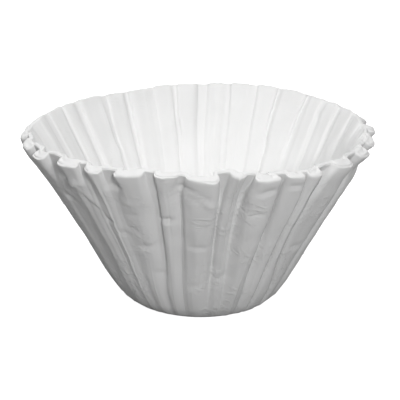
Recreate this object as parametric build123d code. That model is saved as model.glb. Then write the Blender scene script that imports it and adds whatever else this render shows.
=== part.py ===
from build123d import *
import os
from math import acos, cos, hypot, pi, radians, sin, tan

# A nest of fluted paper coffee filters, pressed together into one thick paper cup.
# Each filter is a round sheet, formed over a die: a plain disc for the bottom, a rounded corner
# and a wall whose spare paper is laid in irregular pleats that deepen towards the rim.
# Lengths are in millimetres, angles in degrees. The cup stands on z = 0 about the z axis, and
# angles round it count from its front, at -Y, towards its right, at +X.

# Driving sizes
flat_diameter = 317.0   # the round sheet before it is formed
base_diameter = 101.0   # the sheet's unpleated middle: the bottom and its rounded corner
rim_diameter = 200.0    # across the crests at the rim, on the paper's middle line
corner_radius = 15.0    # between the bottom and the wall, on the paper's middle line
wall = 3.0              # the nest's thickness, but for the spare plies inside the crests
crown = 0.8             # how far the rim's cut edge bulges past its two corners
least_rise = 3.0        # the search for the wall's rise from level starts here, in degrees
halvings = 40           # of the range in that search

# The rim isn't quite round. Each row is a wave in its radius: (how many waves round the cup,
# its cosine's share of the radius, its sine's share of the radius)
out_of_round = [(2, -0.018, 0.006), (3, -0.004, 0.008)]

# Pleats
plain_corner = 0.4      # share of the corner's arc that has no pleats yet
bend_radius = 2.0       # of a pleat's bends, on the paper's middle line
tight_bend = 0.3        # the least radius on the inside of a bend
first_slope = 1.3       # degrees that a pleat's side takes up where the pleats begin
least_reach = 0.35      # from a bend's corner to its ends, where the pleat is still nearly flat
most_bent = 0.94        # share of a panel that its two bends may take up

# One row for each fold that goes inwards, its sizes as they are at the rim:
# (side 1, its lap, its step, side 2, its lap, its step, depth, crest 1, crest 2)
# A side is where the paper goes between a crest and the fold. Its lap is how far the crest
# reaches over the fold: below 0 the side slopes open, above 0 the paper doubles back.
# The spare plies gather inside the crests, so the inner face drops there only by the step.
# The last two say how far inside the rim's circle the outer crest stands beside each side.
folds = [
    (-7.5, -1.1, 0.3, -3.7, -0.4, 1.5, 3.2, 0.9, 0.9),
    (5.1, 1.8, 3.4, 10.6, -1.5, 0.5, 6.2, -1.2, 2.5),
    (13.4, -1.5, 0.5, 17.9, 2.6, 1.0, 4.4, 2.5, -0.9),
    (23.1, 2.8, 2.8, 27.7, -0.5, 0.8, 3.2, -1.0, 0.0),
    (32.1, 1.3, 1.4, 35.1, -0.2, 0.3, 2.6, -1.3, -1.8),
    (38.5, 0.8, 0.5, 45.6, -1.7, 0.5, 3.8, -2.2, -0.5),
    (52.5, 2.1, 0.8, 60.1, -0.5, 0.5, 4.2, -2.6, -0.8),
    (66.6, 0.8, 0.6, 73.2, 0.8, 0.8, 4.8, -2.2, -0.4),
    (80.4, 0.8, 0.5, 86.4, 0.6, 1.0, 5.0, 0.0, 0.4),
    (93.4, 0.6, 0.8, 99.4, 0.9, 0.4, 5.4, 0.0, 0.0),
    (105.6, 0.8, 1.6, 111.8, 0.6, 0.3, 5.0, 0.5, 0.0),
    (116.6, 0.6, 1.8, 121.9, 0.4, 0.4, 4.6, 0.0, 0.2),
    (126.2, 0.2, 1.2, 131.0, 0.6, 0.3, 4.8, 0.0, 0.0),
    (135.0, 0.9, 2.6, 144.8, 0.6, 0.2, 5.2, 0.0, 0.3),
    (149.0, 0.9, 2.6, 156.4, 0.0, 1.8, 4.8, 0.0, 0.0),
    (160.8, 0.2, 0.3, 167.2, 0.9, 2.2, 5.0, 0.0, 0.0),
    (171.2, 0.5, 0.3, 176.2, -0.6, 3.0, 4.6, 0.2, 0.0),
    (181.6, -0.6, 2.6, 188.4, 0.9, 2.4, 5.0, 0.0, 0.0),
    (192.5, 0.6, 0.3, 198.4, 0.2, 0.7, 4.6, 0.0, 0.3),
    (203.0, 0.4, 0.2, 209.3, 0.9, 2.6, 5.0, 0.0, 0.0),
    (213.4, 0.6, 0.3, 219.2, 0.5, 1.6, 4.8, 0.0, 0.0),
    (224.0, 0.6, 0.3, 232.2, 0.9, 2.4, 5.4, 0.3, 0.0),
    (236.6, 0.5, 0.4, 240.8, 0.2, 2.2, 3.8, 0.0, 0.2),
    (244.6, 0.4, 1.6, 252.0, 0.8, 0.8, 5.2, 0.0, 0.0),
    (256.6, 0.6, 1.2, 260.6, 0.6, 0.6, 5.0, 0.0, 0.4),
    (266.4, 0.0, 0.6, 269.4, 0.0, 0.6, 2.4, 0.0, 0.0),
    (277.2, 0.8, 1.0, 282.6, 0.6, 1.2, 5.0, 0.3, 0.0),
    (290.0, 1.0, 1.2, 296.2, 1.4, 2.4, 4.4, -0.5, -2.0),
    (301.9, 0.0, 2.6, 311.0, 1.4, 0.8, 4.2, -2.2, -1.1),
    (317.7, 1.4, 0.3, 322.5, 0.4, 1.8, 3.3, -0.8, -1.2),
    (326.9, 0.2, 0.3, 333.9, 1.8, 1.8, 2.6, -0.7, -1.3),
    (341.4, -0.5, 0.3, 346.5, 0.6, 0.8, 4.1, -0.3, 1.0),
]

# Sections from the bottom's edge to the rim, as shares of the corner's arc and of the wall
corner_sections = [0.0, 0.35, 0.7]
wall_sections = [0.0, 1.0]

base_radius = base_diameter / 2
wall_slant = (flat_diameter - base_diameter) / 2


def rim_radius(angle):
    """Radius of the crests at the rim, in the direction of this angle."""
    share = 0.0
    for waves, cosine, sine in out_of_round:
        share += cosine * cos(radians(waves * angle)) + sine * sin(radians(waves * angle))
    return rim_diameter / 2 * (1 + share)


def wall_angle(angle):
    """The wall's rise from level, in radians, that brings the whole slant out to the rim."""
    low, high = radians(least_rise), pi / 2
    for _ in range(halvings):
        middle = (low + high) / 2
        bottom = base_radius - corner_radius * middle
        reach = bottom + corner_radius * sin(middle) + wall_slant * cos(middle)
        if reach > rim_radius(angle):
            low = middle
        else:
            high = middle
    return (low + high) / 2


def place(angle, corner_share, wall_share, inset):
    """The point this far inside the crests' middle surface, square to it."""
    rise = wall_angle(angle)
    bottom = base_radius - corner_radius * rise
    tilt = corner_share * rise
    slant = wall_share * wall_slant
    radius = bottom + corner_radius * sin(tilt) + slant * cos(tilt) - inset * sin(tilt)
    height = wall / 2 + corner_radius * (1 - cos(tilt)) + slant * sin(tilt) + inset * cos(tilt)
    return (radius * sin(radians(angle)), -radius * cos(radians(angle)), height)


def pleat_growth(corner_share, wall_share):
    """How deep the pleats are here, as a share of their depth at the rim."""
    arc = corner_radius * wall_angle(0)
    distance = (corner_share - plain_corner) * arc + wall_share * wall_slant
    return max(0.0, distance / ((1 - plain_corner) * arc + wall_slant))


def corners_at(growth, inner):
    """The pleats' corners on the middle line of the outer plies, or on that of the inner ones,
    as (angle, inset), four for each fold."""
    corners = []
    for side_1, lap_1, step_1, side_2, lap_2, step_2, depth, crest_1, crest_2 in folds:
        if inner:
            lap_1 *= step_1 / (depth - crest_1)
            lap_2 *= step_2 / (depth - crest_2)
            crest_1 = depth - step_1
            crest_2 = depth - step_2
        over_1 = (lap_1 + first_slope) * growth - first_slope
        over_2 = (lap_2 + first_slope) * growth - first_slope
        corners.append((side_1 + over_1 / 2, crest_1 * growth))
        corners.append((side_1 - over_1 / 2, depth * growth))
        corners.append((side_2 + over_2 / 2, depth * growth))
        corners.append((side_2 - over_2 / 2, crest_2 * growth))
    return corners


def along(start, direction, distance):
    """The point at this distance from start."""
    return (start[0] + direction[0] * distance, start[1] + direction[1] * distance)


def pleat_bends(corner_share, wall_share, side):
    """The bends of one turn of the paper, each as its start, middle and end in (angle, inset).
    side is -1 on the outer face of the wall and 1 on the inner face."""
    growth = pleat_growth(corner_share, wall_share)
    x, y, z = place(0, corner_share, wall_share, 0)
    degree = radians(1) * hypot(x, y)
    middle_line = [(angle * degree, inset) for angle, inset in corners_at(growth, side > 0)]
    count = len(middle_line)

    # The straight run after each corner: its direction
    runs = []
    for i, (start_x, start_y) in enumerate(middle_line):
        end_x, end_y = middle_line[(i + 1) % count]
        if i == count - 1:
            end_x += 360 * degree
        length = hypot(end_x - start_x, end_y - start_y)
        runs.append(((end_x - start_x) / length, (end_y - start_y) / length))

    # Each corner moved square to its two runs onto this face, and how far its bend reaches
    corners = []
    reaches = []
    half_turns = []
    for i, corner in enumerate(middle_line):
        before, after = runs[i - 1], runs[i]
        cosine = before[0] * after[0] + before[1] * after[1]
        turns_in = before[0] * after[1] - before[1] * after[0] > 0
        shift = side * wall / 2 / (1 + cosine)
        corners.append(along(corner, (-before[1] - after[1], before[0] + after[0]), shift))
        half_turn = acos(min(1.0, cosine)) / 2
        radius = bend_radius - side * wall / 2 if turns_in else bend_radius + side * wall / 2
        half_turns.append(half_turn)
        reaches.append(max(max(radius, tight_bend) * tan(half_turn), least_reach))

    # Where a run is too short for its two bends, both give way
    shares = []
    for i, (start_x, start_y) in enumerate(corners):
        end_x, end_y = corners[(i + 1) % count]
        if i == count - 1:
            end_x += 360 * degree
        room = most_bent * hypot(end_x - start_x, end_y - start_y)
        shares.append(min(1.0, room / (reaches[i] + reaches[(i + 1) % count])))

    bends = []
    for i, corner in enumerate(corners):
        reach = reaches[i] * min(shares[i - 1], shares[i])
        start = along(corner, runs[i - 1], -reach)
        end = along(corner, runs[i], reach)
        weight = cos(half_turns[i])
        middle = tuple(
            (start[k] + 2 * weight * corner[k] + end[k]) / (2 + 2 * weight) for k in (0, 1)
        )
        bends.append([(x / degree, inset) for x, inset in (start, middle, end)])
    return bends


def section(bends, corner_share, wall_share, past_rim=0.0):
    """One closed curve round the cup: an arc on each bend, an arc on each panel between two
    bends and a line on each side between a crest and a fold."""
    def at(point):
        return place(point[0], corner_share, wall_share + past_rim / wall_slant, point[1])

    edges = []
    for i, (start, middle, end) in enumerate(bends):
        following = bends[(i + 1) % len(bends)][0]
        if i == len(bends) - 1:
            following = (following[0] + 360, following[1])
        halfway = ((end[0] + following[0]) / 2, (end[1] + following[1]) / 2)
        edges.append(Edge.make_three_point_arc(at(start), at(middle), at(end)))
        if i % 2 == 0:
            edges.append(Edge.make_line(at(end), at(following)))
        else:
            edges.append(Edge.make_three_point_arc(at(end), at(halfway), at(following)))
    return Wire(edges)


def face(side):
    """The sections of the wall's outer face (-1) or inner face (1), from the bottom to the rim."""
    stations = [(share, 0.0) for share in corner_sections]
    stations += [(1.0, share) for share in wall_sections]
    return [section(pleat_bends(*station, side), *station) for station in stations]


def cut_edge():
    """The curve along the middle of the rim's cut edge, halfway between its two corners."""
    bends = []
    for outer_bend, inner_bend in zip(pleat_bends(1.0, 1.0, -1), pleat_bends(1.0, 1.0, 1)):
        bends.append([
            ((outer[0] + inner[0]) / 2, (outer[1] + inner[1]) / 2)
            for outer, inner in zip(outer_bend, inner_bend)
        ])
    return section(bends, 1.0, 1.0, crown)


coffee_filter = Solid.make_loft(face(-1) + [cut_edge()] + face(1)[::-1], ruled=True)

os.makedirs("parts", exist_ok=True)
export_step(coffee_filter, "parts/coffee_filter.step")
print("pleats", len(folds), "volume cm3", round(coffee_filter.volume / 1000, 1))
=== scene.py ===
import math
import random

import bpy
import numpy as np
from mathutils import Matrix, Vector, noise


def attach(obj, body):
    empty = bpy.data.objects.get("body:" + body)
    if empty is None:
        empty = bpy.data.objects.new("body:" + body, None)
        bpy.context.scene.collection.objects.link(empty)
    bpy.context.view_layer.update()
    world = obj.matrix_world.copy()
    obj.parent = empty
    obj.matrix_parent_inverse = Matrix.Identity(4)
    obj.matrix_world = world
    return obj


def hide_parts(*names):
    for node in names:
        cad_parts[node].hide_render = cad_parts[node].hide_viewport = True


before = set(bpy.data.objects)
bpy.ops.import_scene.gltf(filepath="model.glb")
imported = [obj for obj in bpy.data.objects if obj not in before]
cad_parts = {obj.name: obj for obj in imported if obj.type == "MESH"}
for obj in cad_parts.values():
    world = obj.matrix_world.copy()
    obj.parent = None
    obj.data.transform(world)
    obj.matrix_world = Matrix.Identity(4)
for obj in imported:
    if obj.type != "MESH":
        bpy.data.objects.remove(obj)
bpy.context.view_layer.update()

millimetre = 0.001
random.seed(12)

# the nest of filters: millimetres, degrees from the front towards the right, and shares of the wall
cup = {
    "flatDiameter": 317.0,  # the round sheet before forming
    "baseDiameter": 101.0,  # its plain middle
    "rimDiameter": 200.0,  # on the paper's middle line
    "outOfRound": [(2, -0.018, 0.006), (3, -0.004, 0.008)],  # waves, cosine share, sine share
    "cornerRadius": 15.0,
    "plainCorner": 0.4,  # share of the corner with no pleats yet
    "thickness": 3.0,
    "lip": 1.5,  # how far down the cut edge starts to round over
    "crown": 0.8,  # and how far it stands up
    "lipSquareness": 0.6,  # 1 is round, less is squarer
    "belly": 1.3,  # how far the wall swells out above its corner
    "bellyHeight": 0.13,
    "bellyReach": 0.16,
    "innerCrumple": 0.2,  # share of the outer face's crinkles
}

# how the paper folds
folding = {
    "bendRadius": 2.0,  # at the rim
    "softBend": 5.0,  # and how much rounder the folds are at the foot of the wall
    "tightBend": 0.3,  # the tightest bend of a face
    "sharpestTurn": -0.9,  # cosine of the most that a crease may turn through
    "leastReach": 0.35,  # the least that a bend runs along the panel on each side
    "mostBent": 0.94,  # share of a panel that its bends may take up
    "firstSlope": 3.2,  # degrees that a fold's side spreads over where it starts
    "innerSlope": 0.5,  # and an inner fold's side at the rim
    "innerPull": 0.7,  # how closely the inner crests' corners keep to the folds beside them
    "reliefPower": 0.58,  # under 1, the pleats stay deep low on the wall
    "settleDepth": 0.14,  # how far down the settled folds have done so
    "leastPanel": 2.3,  # degrees that wandering creases leave between them
    "crestBulge": (0.1, 0.8),  # how far panels swell out, least and most
    "foldBulge": (-0.4, 0.4),
}

# the mesh: points in each bend, panel and side of a fold, and rows of them
grid = {
    "bendPoints": 4,
    "panelPoints": 5,
    "sidePoints": 1,
    "outerRows": 58,
    "innerRows": 16,
    "edgeRows": 15,
    "cornerRows": 6,
    "rowCrowding": 0.9,  # under 1, the rows are closer together near the rim
    "bottomRings": [0.8, 0.55, 0.3, 0.06],  # shares of the bottom's radius
    "measuredRows": (20, 60),  # the rows that the way round the sheet is measured on
    "bottomReach": 35.0,  # how far the bottom runs along the sheet
    "edgeReach": 2.0,  # and how far the middle of the cut edge is past the wall
    "sheetRadius": 80.0,  # for the way round the sheet
}

# one row for each fold that goes inwards, its sizes at the rim:
# left side, its lap, its step, right side, its lap, its step, depth, crest on the left, crest on the right
# sides and laps are in degrees, the rest in millimetres, with depths and crests counted inwards
# a lap over 0 doubles the paper back; a step is how far the inner face drops beside the fold
pleats = [
    (-7.5, -1.1, 0.3, -3.7, -0.4, 1.5, 3.2, 0.9, 0.9),
    (5.1, 1.8, 3.4, 10.6, -1.5, 0.5, 6.2, -1.2, 2.5),
    (13.4, -1.5, 0.5, 17.9, 2.6, 1.0, 4.4, 2.5, -0.9),
    (23.1, 2.8, 2.8, 27.7, -0.5, 0.8, 3.2, -1.0, 0.0),
    (32.1, 1.3, 1.4, 35.1, -0.2, 0.3, 2.6, -1.3, -1.8),
    (38.5, 0.8, 0.5, 45.6, -1.7, 0.5, 3.8, -2.2, -0.5),
    (52.5, 2.1, 0.8, 60.1, -0.5, 0.5, 4.2, -2.6, -0.8),
    (66.6, 0.8, 0.6, 73.2, 0.8, 0.8, 4.8, -2.2, -0.4),
    (80.4, 0.8, 0.5, 86.4, 0.6, 1.0, 5.0, 0.0, 0.4),
    (93.4, 0.6, 0.8, 99.4, 0.9, 0.4, 5.4, 0.0, 0.0),
    (105.6, 0.8, 1.6, 111.8, 0.6, 0.3, 5.0, 0.5, 0.0),
    (116.6, 0.6, 1.8, 121.9, 0.4, 0.4, 4.6, 0.0, 0.2),
    (126.2, 0.2, 1.2, 131.0, 0.6, 0.3, 4.8, 0.0, 0.0),
    (135.0, 0.9, 2.6, 144.8, 0.6, 0.2, 5.2, 0.0, 0.3),
    (149.0, 0.9, 2.6, 156.4, 0.0, 1.8, 4.8, 0.0, 0.0),
    (160.8, 0.2, 0.3, 167.2, 0.9, 2.2, 5.0, 0.0, 0.0),
    (171.2, 0.5, 0.3, 176.2, -0.6, 3.0, 4.6, 0.2, 0.0),
    (181.6, -0.6, 2.6, 188.4, 0.9, 2.4, 5.0, 0.0, 0.0),
    (192.5, 0.6, 0.3, 198.4, 0.2, 0.7, 4.6, 0.0, 0.3),
    (203.0, 0.4, 0.2, 209.3, 0.9, 2.6, 5.0, 0.0, 0.0),
    (213.4, 0.6, 0.3, 219.2, 0.5, 1.6, 4.8, 0.0, 0.0),
    (224.0, 0.6, 0.3, 232.2, 0.9, 2.4, 5.4, 0.3, 0.0),
    (236.6, 0.5, 0.4, 240.8, 0.2, 2.2, 3.8, 0.0, 0.2),
    (244.6, 0.4, 1.6, 252.0, 0.8, 0.8, 5.2, 0.0, 0.0),
    (256.6, 0.6, 1.2, 260.6, 0.6, 0.6, 5.0, 0.0, 0.4),
    (266.4, 0.0, 0.6, 269.4, 0.0, 0.6, 2.4, 0.0, 0.0),
    (277.2, 0.8, 1.0, 282.6, 0.6, 1.2, 5.0, 0.3, 0.0),
    (290.0, 1.0, 1.2, 296.2, 1.4, 2.4, 4.4, -0.5, -2.0),
    (301.9, 0.0, 2.6, 311.0, 1.4, 0.8, 4.2, -2.2, -1.1),
    (317.7, 1.4, 0.3, 322.5, 0.4, 1.8, 3.3, -0.8, -1.2),
    (326.9, 0.2, 0.3, 333.9, 1.8, 1.8, 2.6, -0.7, -1.3),
    (341.4, -0.5, 0.3, 346.5, 0.6, 0.8, 4.1, -0.3, 1.0),
]

# creases that wander on their way down, by the number of the fold: share of the way down, then how far
# its four corners have moved, in degrees (left crest, fold's left, fold's right, right crest)
wanders = {
    0: [(0.12, -3.4, -0.8, -1.7, -1.3), (0.3, -3.8, -1.0, -2.0, -1.5), (0.6, -5.0, -2.8, -3.5, -2.9),
        (0.9, -6.0, -4.2, -4.6, -4.0)],
    1: [(0.1, -0.3, 1.0, -0.6, -1.2), (0.4, -1.6, 1.2, -2.2, -2.2), (0.6, -3.0, -0.2, -2.2, -2.4),
        (0.85, -4.4, -1.8, -2.6, -2.2), (1.0, -4.8, -2.6, -2.8, -2.2)],
    2: [(0.1, -1.2, -0.8, -3.5, 0.6), (0.3, -2.2, -1.6, -5.2, 1.0), (0.6, -2.3, -1.2, -5.0, 1.4),
        (0.9, -1.6, -0.5, -4.6, 1.4)],
    3: [(0.15, -0.2, 1.0, -0.2, 0.4), (0.3, 0.2, 1.8, 0.0, 0.8), (0.6, 0.0, 1.4, 0.6, 1.6),
        (0.9, -0.6, 0.8, 0.6, 1.4)],
    4: [(0.15, 0.9, 2.1, -0.4, 0.3), (0.6, 0.7, 1.8, -0.6, 0.2), (0.95, 0.4, 1.5, -1.0, -0.1)],
    5: [(0.06, -0.3, 0.1, -3.2, -3.6), (0.13, -0.9, -0.4, -6.2, -7.0), (0.4, -1.6, -0.8, -6.4, -7.0),
        (0.6, 0.1, 1.1, -4.3, -4.6), (0.7, 1.7, 2.9, -2.3, -2.8), (0.85, 4.6, 6.0, 1.0, 0.8),
        (1.0, 6.4, 7.8, 3.2, 3.0)],
    13: [(0.2, 1.3, 1.3, 0.4, 0.4), (0.4, 1.8, 1.8, 0.6, 0.4)],
    14: [(0.2, 0.6, 0.6, -0.4, -0.4), (0.4, -1.2, -1.2, -1.4, -1.4), (1.0, -0.6, -0.6, -1.0, -1.0)],
    15: [(0.25, 0.2, 0.2, -0.7, -0.7), (0.6, 0.4, 0.4, -0.2, -0.2)],
    16: [(0.4, 0.3, 0.3, 0.9, 0.9), (1.0, 0.6, 0.6, 1.0, 1.0)],
    17: [(0.2, 0.8, 0.8, 0.5, 0.5), (0.3, 0.9, 0.9, -0.5, -0.5), (0.42, 0.9, 0.9, 1.0, 1.0)],
    20: [(0.2, 0.4, 0.4, 1.0, 1.0), (0.5, 1.0, 1.0, 0.6, 0.6)],
    29: [(0.4, 0.6, 0.6, 0.4, 0.4), (0.8, 1.0, 1.0, 1.6, 1.6)],
    30: [(0.3, 0.0, 1.0, -3.4, 1.0), (0.7, -2.0, 1.7, -4.6, -1.5), (0.95, -1.6, 1.6, -3.6, -1.0)],
    31: [(0.2, -0.8, 0.9, 1.0, 0.6), (0.45, -2.0, -0.4, -0.4, -0.6), (0.65, -3.6, -1.8, -2.0, -2.0),
         (0.85, -5.8, -4.0, -4.4, -4.6)],
}

# folds whose depth and lap change just below the rim: under 1 they settle flatter, over 1 they deepen
settles = {
    0: 1.3, 1: 1.3, 2: 1.6, 3: 1.6, 4: 1.3, 5: 1.5, 6: 0.8, 7: 0.5, 8: 0.5,
    26: 0.55, 27: 0.28, 28: 0.15, 29: 0.18, 30: 0.42, 31: 0.85,
}

base = cup["baseDiameter"] / 2
slant = (cup["flatDiameter"] - cup["baseDiameter"]) / 2
leastRise = 0.05
halvings = 40


def rimRadius(angle):
    share = np.zeros_like(angle, dtype=float)
    for waves, cosine, sine in cup["outOfRound"]:
        share += cosine * np.cos(np.radians(waves * angle)) + sine * np.sin(np.radians(waves * angle))
    return cup["rimDiameter"] / 2 * (1 + share)


# how steep the wall is, so that the sheet's slant just reaches the rim
def findRise(angle):
    low, high = np.full_like(angle, leastRise), np.full_like(angle, math.pi / 2)
    for _ in range(halvings):
        middle = (low + high) / 2
        reach = base - cup["cornerRadius"] * (middle - np.sin(middle)) + slant * np.cos(middle)
        tooWide = reach > rimRadius(angle)
        low = np.where(tooWide, middle, low)
        high = np.where(tooWide, high, middle)
    return (low + high) / 2


riseAngles = np.arange(0.0, 361.0, 1.0)
rises = findRise(riseAngles)


# a point of the sheet in space, inset from its middle line
def place(angle, cornerShare, wallShare, inset):
    rise = np.interp(angle % 360, riseAngles, rises)
    radiusOfCorner = cup["cornerRadius"]
    tilt = cornerShare * rise
    along = wallShare * slant
    radius = base - radiusOfCorner * rise + radiusOfCorner * np.sin(tilt) + along * np.cos(tilt)
    radius = radius - inset * np.sin(tilt)
    height = cup["thickness"] / 2 + radiusOfCorner * (1 - np.cos(tilt)) + along * np.sin(tilt)
    height = height + inset * np.cos(tilt)
    turn = np.radians(angle)
    return np.stack([radius * np.sin(turn), -radius * np.cos(turn), height], axis=-1)


# how far the pleats have come on here: 0 where they start, 1 at the rim
def growthAt(cornerShare, wallShare):
    arc = cup["cornerRadius"] * rises[0]
    plain = cup["plainCorner"]
    run = (cornerShare - plain) * arc + wallShare * slant
    return max(0.0, run / ((1 - plain) * arc + slant))


def wanderAt(number, down):
    steps = [(0.0, 0.0, 0.0, 0.0, 0.0)] + wanders.get(number, [])
    shares = [s[0] for s in steps]
    return [float(np.interp(down, shares, [s[k] for s in steps])) for k in (1, 2, 3, 4)]


crestBulge = [random.uniform(*folding["crestBulge"]) for _ in pleats]
foldBulge = [random.uniform(*folding["foldBulge"]) for _ in pleats]


# the pleats' corners, four for each fold: on the outer plies, or on the inner ones, which cut across
# the crests
def pleatCorners(growth, down, inner):
    relief = growth ** folding["reliefPower"]
    slope = folding["firstSlope"]
    corners = []
    for number, pleat in enumerate(pleats):
        left, leftLap, leftStep, right, rightLap, rightStep, depth, leftCrest, rightCrest = pleat
        moves = wanderAt(number, down)
        keep = 1 - (1 - settles.get(number, 1.0)) * min(1.0, down / folding["settleDepth"])
        if inner:
            leftLap = leftLap * leftStep / (depth - leftCrest) - folding["innerSlope"]
            rightLap = rightLap * rightStep / (depth - rightCrest) - folding["innerSlope"]
            leftCrest = depth - leftStep
            rightCrest = depth - rightStep
            moves[0] += (moves[1] - moves[0]) * folding["innerPull"]
            moves[3] += (moves[2] - moves[3]) * folding["innerPull"]
        overLeft = (leftLap + slope) * growth * keep - slope
        overRight = (rightLap + slope) * growth * keep - slope
        drop = relief * keep
        corners.append((left + overLeft / 2 + moves[0], leftCrest * drop))
        corners.append((left - overLeft / 2 + moves[1], depth * drop))
        corners.append((right + overRight / 2 + moves[2], depth * drop))
        corners.append((right - overRight / 2 + moves[3], rightCrest * drop))
    corners = np.array(corners)
    # folds and crests never shut: panels run from each odd corner to the next
    for first in range(1, len(corners), 2):
        second = (first + 1) % len(corners)
        turn = 360 if second == 0 else 0
        short = folding["leastPanel"] - (corners[second, 0] + turn - corners[first, 0])
        if short > 0:
            corners[first, 0] -= short / 2
            corners[second, 0] += short / 2
    return corners


# one face of the pleated paper at one height, its creases rounded: angles and insets of its points
def profile(cornerShare, wallShare, side):
    halfThickness = cup["thickness"] / 2
    growth = growthAt(cornerShare, wallShare)
    middle = pleatCorners(growth, min(1.0, max(0.0, 1 - wallShare)), side > 0)
    spot = place(np.array(0.0), cornerShare, wallShare, 0.0)
    degree = math.radians(1) * math.hypot(spot[0], spot[1])  # in millimetres, at this height
    line = middle * [degree, 1.0]
    whole = np.array([360 * degree, 0.0])
    after = np.roll(line, -1, axis=0)
    after[-1] += whole
    runs = after - line
    runs /= np.linalg.norm(runs, axis=1, keepdims=True)
    before = np.roll(runs, 1, axis=0)
    cosine = np.clip((before * runs).sum(axis=1), folding["sharpestTurn"], 1)
    turnsIn = before[:, 0] * runs[:, 1] - before[:, 1] * runs[:, 0] > 0
    shift = side * halfThickness / (1 + cosine)
    inwards = np.stack([-before[:, 1] - runs[:, 1], before[:, 0] + runs[:, 0]], axis=1)
    corners = line + shift[:, None] * inwards
    halfTurn = np.arccos(cosine) / 2
    bend = folding["bendRadius"] + folding["softBend"] * (1 - growth)
    radius = np.where(turnsIn, bend - side * halfThickness, bend + side * halfThickness)
    reach = np.maximum(np.maximum(radius, folding["tightBend"]) * np.tan(halfTurn), folding["leastReach"])
    following = np.roll(corners, -1, axis=0)
    following[-1] += whole
    room = folding["mostBent"] * np.linalg.norm(following - corners, axis=1)
    share = np.minimum(1.0, room / (reach + np.roll(reach, -1)))
    reach = reach * np.minimum(np.roll(share, 1), share)
    starts = corners - before * reach[:, None]
    ends = corners + runs * reach[:, None]
    weight = np.cos(halfTurn)

    points = []
    count = len(corners)
    for i in range(count):
        for t in np.linspace(0, 1, grid["bendPoints"]):
            a, b, c = (1 - t) ** 2, 2 * weight[i] * t * (1 - t), t * t
            points.append((a * starts[i] + b * corners[i] + c * ends[i]) / (a + b + c))
        nextStart = starts[(i + 1) % count] + (whole if i == count - 1 else 0)
        onSide = i % 2 == 0
        steps = grid["sidePoints"] if onSide else grid["panelPoints"]
        if onSide:
            bulge = 0.0
        elif i % 4 == 3:
            bulge = -crestBulge[i // 4] * growth
        else:
            bulge = -foldBulge[i // 4] * growth
        for step in range(steps):
            t = (step + 1) / (steps + 1)
            point = ends[i] * (1 - t) + nextStart * t
            points.append(point + np.array([0.0, bulge * 4 * t * (1 - t)]))
    points = np.array(points)
    return points[:, 0] / degree, points[:, 1]


# unevenness of the faces and of the rim: how broad its swellings are, its seed and its height
ripples = {
    "broad": (26.0, 1, 0.7),
    "fine": (9.0, 2, 0.3),
    "sideways": (30.0, 3, 0.5),  # height in degrees round the cup
    "rimWaves": (22.0, 4, 0.6),
    "rimLumps": (6.0, 5, 0.5),
    "rimTears": (2.2, 6, 0.25),
    "rimWobble": (4.0, 7, 0.35),  # in and out
}
seedStep = (17.3, 5.1, 9.7)  # how far apart two seeds lie in the noise
unevenFoot = 1.5  # how quickly the unevenness comes in above the foot


def noiseAt(points, size, seed):
    offset = Vector([seed * step for step in seedStep])
    return np.array([noise.noise(Vector(p) / size + offset) for p in points])


def ripple(points, kind):
    size, seed, height = ripples[kind]
    return noiseAt(points, size, seed) * height


# long streaks down the wall where plies lie over each other
streaks = {
    "width": 3.4,  # degrees
    "bends": 1.6,  # how often one changes on its way down
    "seed": 3.7,
    "sideShift": 0.4,  # how much the two faces differ
    "height": 0.5,
}


def streakHeight(angle, wallShare, side):
    along = wallShare * streaks["bends"]
    seed = streaks["seed"] + side * streaks["sideShift"]
    heights = np.array([noise.noise(Vector((a / streaks["width"], along, seed))) for a in angle])
    return heights * streaks["height"]


def degreesFrom(angle, where):
    return (angle - where + 180) % 360 - 180


# dents in the wall: angle, share of the way down, half length and half width in mm, how it runs in degrees
# (over 0 it climbs to the right), depth; each is soft on its upper side and sharp on its lower one
dents = [
    (-46.0, 0.12, 6.0, 3.2, 5, -1.3),
    (-41.5, 0.22, 8.0, 3.6, -55, -1.0),
    (-50.5, 0.09, 3.5, 2.4, 8, 1.2),
    (-37.0, 0.36, 3.2, 2.4, 10, 1.0),
    (-33.0, 0.44, 4.0, 2.6, -8, 0.8),
    (-24.0, 0.52, 6.0, 3.2, 12, 1.2),
    (-27.0, 0.40, 3.6, 2.4, -20, 0.8),
    (-12.4, 0.31, 3.2, 2.6, 8, 1.9),
    (-29.0, 0.10, 5.0, 2.6, 8, 1.2),
    (-26.0, 0.20, 4.5, 3.0, -12, -0.7),
    (-25.0, 0.29, 4.0, 2.6, 15, 0.8),
    (-4.5, 0.08, 3.2, 2.4, 12, 1.6),
    (-1.2, 0.14, 5.0, 2.2, -30, 1.0),
    (1.0, 0.12, 6.0, 2.4, -42, 1.3),
    (2.6, 0.16, 6.0, 2.4, -48, -1.3),
    (-1.0, 0.49, 5.0, 2.2, 0, 1.0),
    (-3.2, 0.79, 4.5, 2.8, 28, 1.6),
    (21.0, 0.08, 4.5, 2.6, 16, 1.4),
    (20.0, 0.24, 3.6, 2.4, 4, 0.9),
    (30.5, 0.06, 4.0, 2.4, 12, 1.2),
    (40.5, 0.10, 7.0, 2.6, 72, 2.4),
    (47.0, 0.56, 4.0, 2.6, -5, 1.3),
    (56.0, 0.30, 4.0, 2.6, 10, 1.2),
    (-56.0, 0.26, 5.0, 2.8, -20, 1.5),
    (-21.0, 0.72, 5.0, 2.6, -12, 1.0),
    (12.0, 0.74, 5.0, 2.4, 10, 0.9),
]
# and more of them round the far side, each size between its least and its most
farDents = {
    "count": 46,
    "angle": (62, 298),
    "down": (0.05, 0.92),
    "halfLength": (3, 7),
    "halfWidth": (2.2, 3.2),
    "turn": (-40, 40),
    "depth": (0.5, 1.5),
}
for _ in range(farDents["count"]):
    dent = [random.uniform(*farDents[k]) for k in ("angle", "down", "halfLength", "halfWidth", "turn")]
    dents.append((*dent, random.choice((-1, 1)) * random.uniform(*farDents["depth"])))

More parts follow.
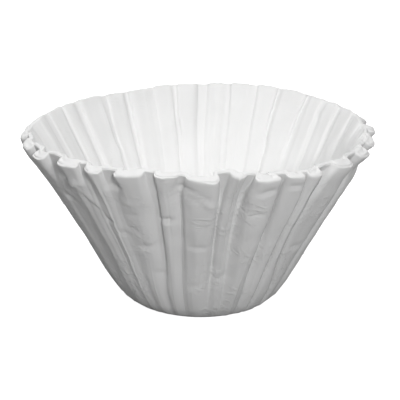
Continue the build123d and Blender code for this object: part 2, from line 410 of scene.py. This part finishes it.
# broad hollows with soft sides, and a swelling where the depth is under 0: angle, share of the way down,
# half width round the cup and half height in mm, depth
hollows = [(74.0, 0.09, 26.0, 8.0, 4.0), (-82.0, 0.05, 12.0, 6.0, -1.8)]

dentWork = {
    "scale": 1.2,  # on every dent's depth
    "sharpness": 3,  # of its lower side
    "degreeAtRim": 1.7,  # millimetres round the cup in one degree
    "degreeLoss": 0.8,  # and how much less that is at the foot
}


def dentDepth(angle, down):
    depth = np.zeros_like(angle)
    millimetres = dentWork["degreeAtRim"] - dentWork["degreeLoss"] * down
    for where, share, halfLength, halfWidth, step in hollows:
        x = degreesFrom(angle, where) * millimetres / halfLength
        y = (down - share) * slant / halfWidth
        depth += step * np.exp(-(x**2) - y**2)
    for where, share, halfLength, halfWidth, turn, step in dents:
        x = degreesFrom(angle, where) * millimetres
        y = (down - share) * slant
        c, s = math.cos(math.radians(turn)), math.sin(math.radians(turn))
        alongIt = (x * c - y * s) / halfLength
        acrossIt = (x * s + y * c) / halfWidth
        acrossIt = np.where(acrossIt > 0, acrossIt * dentWork["sharpness"], acrossIt)
        depth += dentWork["scale"] * step * np.exp(-(alongIt**2) - acrossIt**2)
    return depth


rim = {
    # where it stands higher or lower: angle, how far round it goes, height
    "lifts": [
        (155, 18, 1.6),
        (4, 6, -1.2),
        (-46, 6, 0.8),
        (-32, 4, -0.6),
        (48, 7, 1.2),
        (-145, 20, -1.6),
        (74, 8, -0.8),
    ],
    "from": 0.93,  # share of the wall where it starts to be ragged
    "over": 0.07,  # and how much further up it is fully so
    "torn": 1.8,  # how much more ragged it is on the right
    "tornAt": 95.0,
    "tornReach": 24.0,
    "slitDepth": 1.5,  # between loose plies on the cut edge
    "slitLength": 9.0,
    "slitSharpness": 6,
    "slitSeed": 8,
    "slitEvery": 3,  # rows of the cut edge
}


def bellyAt(wallShare):
    return cup["belly"] * math.exp(-(((wallShare - cup["bellyHeight"]) / cup["bellyReach"]) ** 2))


# side is -1 on the outer face, 1 on the inner one and between them on the cut edge; past is how far
# the point stands up beyond the rim, and slit the number of the gap between plies that runs here, if any
def rowPoints(cornerShare, wallShare, side, past=0.0, slit=0):
    if abs(side) == 1:
        angle, inset = profile(cornerShare, wallShare, side)
    else:
        outerAngle, outerInset = profile(cornerShare, wallShare, -1)
        innerAngle, innerInset = profile(cornerShare, wallShare, 1)
        angle = outerAngle + (innerAngle - outerAngle) * (1 + side) / 2
        inset = outerInset + (innerInset - outerInset) * (1 + side) / 2
    plain = place(angle, cornerShare, wallShare, 0.0)
    soft = min(1.0, growthAt(cornerShare, wallShare) * unevenFoot)
    if cornerShare >= 1:
        inset = inset - bellyAt(wallShare)
    uneven = ripple(plain, "broad") + ripple(plain, "fine") + streakHeight(angle, wallShare, side)
    inset = inset + soft * uneven + soft * dentDepth(angle, 1 - wallShare)
    angle = angle + soft * ripple(plain, "sideways")
    nearRim = min(1.0, max(0.0, wallShare - rim["from"]) / rim["over"])
    if nearRim > 0:
        spot = place(angle, cornerShare, wallShare, inset)
        lift = np.zeros_like(angle)
        for where, reach, height in rim["lifts"]:
            lift += height * np.exp(-(degreesFrom(angle, where) / reach) ** 2)
        torn = 1 + rim["torn"] * np.exp(-(degreesFrom(angle, rim["tornAt"]) / rim["tornReach"]) ** 2)
        lift += ripple(spot, "rimWaves") + torn * (ripple(spot, "rimLumps") + ripple(spot, "rimTears"))
        inset = inset + nearRim * torn * ripple(spot, "rimWobble")
        past = past + nearRim * lift
        if slit:
            gap = noiseAt(plain, rim["slitLength"], rim["slitSeed"] + slit) * rim["slitSharpness"]
            past = past - rim["slitDepth"] * np.clip(gap, 0, 1)
    return place(angle, cornerShare, wallShare + past / slant, inset)


rows = []
rowLength = []  # how far along the sheet each row lies


def addRow(points, along):
    rows.append(points)
    rowLength.append(along)


def addBottomRing(edge, share):
    addRow(edge * [share, share, 1], -(1 - share) * grid["bottomReach"])


# up the outer face, over the cut edge and down the inner face
arcLength = cup["cornerRadius"] * rises[0]
bottomEdge = rowPoints(0.0, 0.0, -1)
for share in reversed(grid["bottomRings"]):
    addBottomRing(bottomEdge, share)
for step in range(grid["cornerRows"]):
    share = step / grid["cornerRows"]
    addRow(rowPoints(share, 0.0, -1), share * arcLength)
lipShare = 1 - cup["lip"] / slant
for step in range(grid["outerRows"] + 1):
    share = lipShare * (step / grid["outerRows"]) ** grid["rowCrowding"]
    addRow(rowPoints(1.0, share, -1), arcLength + share * slant)
every = rim["slitEvery"]
for step in range(grid["edgeRows"]):
    turn = math.pi * (step + 1) / (grid["edgeRows"] + 1)
    out, up = math.cos(turn), math.sin(turn)
    side = -math.copysign(abs(out) ** cup["lipSquareness"], out)
    rise = (cup["lip"] + cup["crown"]) * up ** cup["lipSquareness"] - cup["lip"]
    slit = step // every if step % every == 1 and every < step < grid["edgeRows"] - every else 0
    addRow(
        rowPoints(1.0, 1 + min(0.0, rise) / slant, side, max(0.0, rise), slit),
        arcLength + slant + grid["edgeReach"] + side,
    )
for step in range(grid["innerRows"] + 1):
    share = lipShare * (1 - step / grid["innerRows"]) ** grid["rowCrowding"]
    addRow(rowPoints(1.0, share, 1), arcLength + share * slant)
for step in range(grid["cornerRows"]):
    share = 1 - (step + 1) / grid["cornerRows"]
    addRow(rowPoints(share, 0.0, 1), share * arcLength)
bottomInside = rows[-1]
for share in grid["bottomRings"]:
    addBottomRing(bottomInside, share)

rowCount, pointCount = len(rows), len(rows[0])
print("cup grid", rowCount, "rows of", pointCount)

# where each point lies along the sheet, as a share of the way round
lengths = np.zeros(pointCount)
for row in rows[slice(*grid["measuredRows"])]:
    lengths += np.linalg.norm(np.roll(row, -1, axis=0) - row, axis=1)
roundShare = np.concatenate([[0], np.cumsum(lengths)]) / lengths.sum()


def buildFaces():
    faces = []
    uvs = []
    along = [v * millimetre for v in rowLength]
    turnLength = 2 * math.pi * grid["sheetRadius"] * millimetre
    for r in range(rowCount - 1):
        lower, upper = r * pointCount, (r + 1) * pointCount
        for i in range(pointCount):
            j = (i + 1) % pointCount
            faces.append((lower + i, lower + j, upper + j, upper + i))
            left, right = roundShare[i] * turnLength, roundShare[i + 1] * turnLength
            uvs += [(left, along[r]), (right, along[r]), (right, along[r + 1]), (left, along[r + 1])]
    # the middles of the underside and of the bottom inside
    under, over = rowCount * pointCount, rowCount * pointCount + 1
    last = (rowCount - 1) * pointCount
    for i in range(pointCount):
        j = (i + 1) % pointCount
        faces.append((i, under, j))
        faces.append((last + j, over, last + i))
        left, right = roundShare[i] * turnLength, roundShare[i + 1] * turnLength
        uvs += [(left, along[0]), (left, along[0]), (right, along[0])]
        uvs += [(right, along[-1]), (right, along[-1]), (left, along[-1])]
    return faces, uvs


def addMarks(mesh, name, marks):
    attribute = mesh.attributes.new(name, "FLOAT", "POINT")
    attribute.data.foreach_set("value", marks)


def buildCup():
    middles = [rows[0].mean(axis=0)[None, :], rows[-1].mean(axis=0)[None, :]]
    vertices = np.vstack([np.concatenate(rows), *middles]) * millimetre
    faces, uvs = buildFaces()
    mesh = bpy.data.meshes.new("filterCup")
    mesh.from_pydata([tuple(v) for v in vertices], [], faces)
    sheet = mesh.uv_layers.new(name="sheet")
    sheet.data.foreach_set("uv", [v for uv in uvs for v in uv])
    firstEdge = (len(grid["bottomRings"]) + grid["cornerRows"] + grid["outerRows"] + 1) * pointCount
    cutEdge = np.zeros(len(vertices))
    cutEdge[firstEdge:firstEdge + grid["edgeRows"] * pointCount] = 1.0
    addMarks(mesh, "cutEdge", cutEdge)
    crumple = np.full(len(vertices), cup["innerCrumple"])
    crumple[:firstEdge] = 1.0
    addMarks(mesh, "crumple", crumple)
    mesh.validate()
    mesh.update()
    for polygon in mesh.polygons:
        polygon.use_smooth = True
    piece = bpy.data.objects.new("filterCup", mesh)
    bpy.context.collection.objects.link(piece)
    return piece


filterCup = buildCup()
print("cup built", len(filterCup.data.polygons), "faces")

paper = {
    "white": (0.84, 0.84, 0.838, 1),
    "shade": (0.79, 0.79, 0.787, 1),
    # painted shade: the cut edge gets a darker tone than the white paper, standing in for the shade on the
    # rim
    "edge": (0.79, 0.79, 0.787, 1),
    "roughness": 0.93,
    "specular": 0.2,
    "softness": 0.04,  # how much light goes through the plies
    "softDepth": 0.0015,  # and how far, in metres
    "softTint": (1.0, 1.0, 0.95),
    "clouds": {"scale": 60, "detail": 6},  # slight changes of tone
    "fibre": {"scale": 1400, "detail": 3, "strength": 0.25, "height": 0.0001},
    "crease": {"scale": 1, "detail": 3, "range": (0.5, 0.62), "strength": 0.34, "height": 0.0009},
    "creaseStretch": (120, 150, 1),  # round the cup, along the sheet
    "creaseTwist": 1.6,
    "patches": {"scale": 38, "detail": 1, "range": (0.48, 0.66)},  # where the creases show
}


def addNoise(nodes, links, source, settings):
    texture = nodes.new("ShaderNodeTexNoise")
    texture.inputs["Scale"].default_value = settings["scale"]
    texture.inputs["Detail"].default_value = settings["detail"]
    links.new(source, texture.inputs["Vector"])
    return texture


def addRange(nodes, links, source, settings):
    span = nodes.new("ShaderNodeMapRange")
    span.inputs["From Min"].default_value, span.inputs["From Max"].default_value = settings["range"]
    links.new(source, span.inputs["Value"])
    return span.outputs["Result"]


def multiply(nodes, links, first, second):
    product = nodes.new("ShaderNodeMath")
    product.operation = "MULTIPLY"
    links.new(first, product.inputs[0])
    links.new(second, product.inputs[1])
    return product.outputs["Value"]


def addBump(nodes, links, height, settings):
    bump = nodes.new("ShaderNodeBump")
    bump.inputs["Strength"].default_value = settings["strength"]
    bump.inputs["Distance"].default_value = settings["height"]
    links.new(height, bump.inputs["Height"])
    return bump


def addMark(nodes, name):
    mark = nodes.new("ShaderNodeAttribute")
    mark.attribute_name = name
    return mark.outputs["Fac"]


def addTones(nodes, links, share):
    mix = nodes.new("ShaderNodeMix")
    mix.data_type = "RGBA"
    links.new(share, mix.inputs[0])
    return mix


def paperMaterial():
    material = bpy.data.materials.new("filterPaper")
    material.use_nodes = True
    nodes, links = material.node_tree.nodes, material.node_tree.links
    nodes.clear()
    output = nodes.new("ShaderNodeOutputMaterial")
    shader = nodes.new("ShaderNodeBsdfPrincipled")
    shader.inputs["Roughness"].default_value = paper["roughness"]
    shader.inputs["Specular IOR Level"].default_value = paper["specular"]
    shader.inputs["Subsurface Weight"].default_value = paper["softness"]
    shader.inputs["Subsurface Radius"].default_value = paper["softTint"]
    shader.inputs["Subsurface Scale"].default_value = paper["softDepth"]
    links.new(shader.outputs["BSDF"], output.inputs["Surface"])
    where = nodes.new("ShaderNodeTexCoord")

    clouds = addNoise(nodes, links, where.outputs["Object"], paper["clouds"])
    tone = addTones(nodes, links, clouds.outputs["Fac"])
    tone.inputs[6].default_value = paper["shade"]
    tone.inputs[7].default_value = paper["white"]
    # painted shade on the cut edge: the rows marked cutEdge take the darker edge tone in place of the
    # paper's clouded tone
    edgeTone = addTones(nodes, links, addMark(nodes, "cutEdge"))
    edgeTone.inputs[7].default_value = paper["edge"]
    links.new(tone.outputs[2], edgeTone.inputs[6])
    links.new(edgeTone.outputs[2], shader.inputs["Base Color"])

    fibre = addNoise(nodes, links, where.outputs["Object"], paper["fibre"])
    fibreBump = addBump(nodes, links, fibre.outputs["Fac"], paper["fibre"])

    # patchy creases, fainter inside the cup
    stretch = nodes.new("ShaderNodeMapping")
    stretch.inputs["Scale"].default_value = paper["creaseStretch"]
    links.new(where.outputs["UV"], stretch.inputs["Vector"])
    crease = addNoise(nodes, links, stretch.outputs["Vector"], paper["crease"])
    crease.inputs["Distortion"].default_value = paper["creaseTwist"]
    ridges = addRange(nodes, links, crease.outputs["Fac"], paper["crease"])
    patches = addNoise(nodes, links, where.outputs["Object"], paper["patches"])
    shown = addRange(nodes, links, patches.outputs["Fac"], paper["patches"])
    crinkles = multiply(nodes, links, ridges, shown)
    crumpled = multiply(nodes, links, crinkles, addMark(nodes, "crumple"))
    creaseBump = addBump(nodes, links, crumpled, paper["crease"])
    links.new(fibreBump.outputs["Normal"], creaseBump.inputs["Normal"])
    links.new(creaseBump.outputs["Normal"], shader.inputs["Normal"])
    return material


filterCup.data.materials.append(paperMaterial())
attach(filterCup, "root")
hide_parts("coffee_filter")
print("paper on the cup")

studio = {
    "floorReach": 4.0,
    "floorDrop": 0.0003,  # keeps it just clear of the cup's bottom
    "floorTone": (0.6, 0.6, 0.6, 1),
    "floorGlow": 0.93,  # a lit white sweep: keeps the floor near white where it is seen
    "floorBounce": (0.3, 0.3, 0.3, 1),  # what it throws back on to the paper
    "worldTone": (1.0, 1.0, 1.0, 1),
    "worldLight": 0.12,  # what reaches the paper
    "worldSeen": 1.0,  # and what is seen behind it
    "lampAim": (0.0, 0.0, 0.05),
    "lamps": {
        "softboxAbove": {"location": (-0.36, -0.05, 1.45), "size": 1.0, "power": 14.8},
        "fillFront": {"location": (0.34, -1.42, 0.7), "size": 0.3, "power": 12},
        "fillBack": {"location": (-0.7, 1.45, 0.3), "size": 0.6, "power": 6.5},
        "fillSide": {"location": (1.0, 1.15, 0.35), "size": 0.5, "power": 3.0},
    },
}


def buildFloor():
    mesh = bpy.data.meshes.new("floor")
    reach = studio["floorReach"]
    corners = [(-reach, -reach, 0), (reach, -reach, 0), (reach, reach, 0), (-reach, reach, 0)]
    mesh.from_pydata(corners, [], [(0, 1, 2, 3)])
    floor = bpy.data.objects.new("floor", mesh)
    floor.location.z = -studio["floorDrop"]
    bpy.context.collection.objects.link(floor)
    material = bpy.data.materials.new("paleFloor")
    material.use_nodes = True
    nodes, links = material.node_tree.nodes, material.node_tree.links
    nodes.clear()
    output = nodes.new("ShaderNodeOutputMaterial")
    seen = nodes.new("ShaderNodeBsdfDiffuse")
    seen.inputs["Color"].default_value = studio["floorTone"]
    glow = nodes.new("ShaderNodeEmission")
    glow.inputs["Strength"].default_value = studio["floorGlow"]
    sweep = nodes.new("ShaderNodeAddShader")
    links.new(seen.outputs["BSDF"], sweep.inputs[0])
    links.new(glow.outputs["Emission"], sweep.inputs[1])
    bounce = nodes.new("ShaderNodeBsdfDiffuse")
    bounce.inputs["Color"].default_value = studio["floorBounce"]
    ray = nodes.new("ShaderNodeLightPath")
    mix = nodes.new("ShaderNodeMixShader")
    links.new(ray.outputs["Is Camera Ray"], mix.inputs[0])
    links.new(bounce.outputs["BSDF"], mix.inputs[1])
    links.new(sweep.outputs["Shader"], mix.inputs[2])
    links.new(mix.outputs["Shader"], output.inputs["Surface"])
    mesh.materials.append(material)
    return floor


def areaLight(name, settings):
    data = bpy.data.lights.new(name, "AREA")
    data.shape = "DISK"
    data.size = settings["size"]
    data.energy = settings["power"]
    light = bpy.data.objects.new(name, data)
    light.location = settings["location"]
    aim = Vector(studio["lampAim"]) - Vector(settings["location"])
    light.rotation_euler = aim.to_track_quat("-Z", "Y").to_euler()
    bpy.context.collection.objects.link(light)


def buildWorld():
    world = bpy.data.worlds.new("studio")
    world.use_nodes = True
    nodes, links = world.node_tree.nodes, world.node_tree.links
    background = nodes["Background"]
    background.inputs["Color"].default_value = studio["worldTone"]
    ray = nodes.new("ShaderNodeLightPath")
    strength = nodes.new("ShaderNodeMapRange")
    strength.inputs["To Min"].default_value = studio["worldLight"]
    strength.inputs["To Max"].default_value = studio["worldSeen"]
    links.new(ray.outputs["Is Camera Ray"], strength.inputs["Value"])
    links.new(strength.outputs["Result"], background.inputs["Strength"])
    bpy.context.scene.world = world


buildFloor()
for name, settings in studio["lamps"].items():
    areaLight(name, settings)
buildWorld()
bpy.context.scene.view_settings.view_transform = "Standard"

view = {
    "aim": (0.0, 0.0, 0.0596),
    "distance": 0.75,
    "elevation": 19.32,  # degrees
    "lens": 112.65,  # millimetres, and so is the sensor
    "sensor": 36,
}


def addCamera():
    data = bpy.data.cameras.new("camera")
    data.sensor_width = view["sensor"]
    data.lens = view["lens"]
    camera = bpy.data.objects.new("camera", data)
    tilt = math.radians(view["elevation"])
    aim = Vector(view["aim"])
    camera.location = aim + view["distance"] * Vector((0, -math.cos(tilt), math.sin(tilt)))
    camera.rotation_euler = (aim - camera.location).to_track_quat("-Z", "Y").to_euler()
    bpy.context.collection.objects.link(camera)
    bpy.context.scene.camera = camera


addCamera()
print("studio and camera set")
